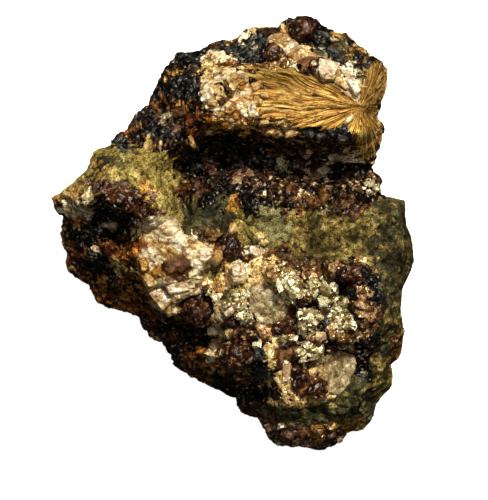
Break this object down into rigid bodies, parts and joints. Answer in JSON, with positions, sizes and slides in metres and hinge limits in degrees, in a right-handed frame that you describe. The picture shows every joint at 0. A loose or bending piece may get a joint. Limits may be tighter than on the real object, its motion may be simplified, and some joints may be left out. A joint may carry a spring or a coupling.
{
  "type": "arsenopyrite in skarn specimen",
  "caption": "Broken hand specimen of olive-grey skarn rock with brassy metallic crystals, a tan fibre spray, white calcite, grey quartz and brown garnet; lies on its flat back.",
  "frame": {"origin": "middle of the footprint's bounding box, on the surface that the flat back rests on", "axes": "+Z out of the mineral-rich face, +Y along the longest way towards the fibre spray's end, +X to the right seen from +Z"},
  "size_m": [0.0688, 0.0822, 0.0339],
  "materials": {
    "skarn": "rough, broken",
    "fibre": "silky, ribbed",
    "arsenopyrite": "metallic, faceted",
    "quartz": "glassy",
    "calcite": "cleaved, rust stained",
    "garnet": "resinous"
  },
  "bodies": {
    "root": {"skarn_matrix": "skarn", "fibre_fan": "fibre", "arsenopyrite_crust": "arsenopyrite", "arsenopyrite_left": "arsenopyrite", "quartz_centre": "quartz", "quartz_lower": "quartz", "calcite_ledge": "calcite", "calcite_upper": "calcite", "calcite_vein": "calcite", "calcite_grain": "calcite", "calcite_patch": "calcite", "garnet_crown": "garnet", "garnet_crown_left": "garnet", "garnet_ridge": "garnet", "garnet_left": "garnet", "garnet_valley": "garnet", "garnet_ledge": "garnet", "garnet_lower": "garnet", "garnet_step": "garnet", "garnet_foot": "garnet", "garnet_foot_right": "garnet"}
  },
  "joints": []
}
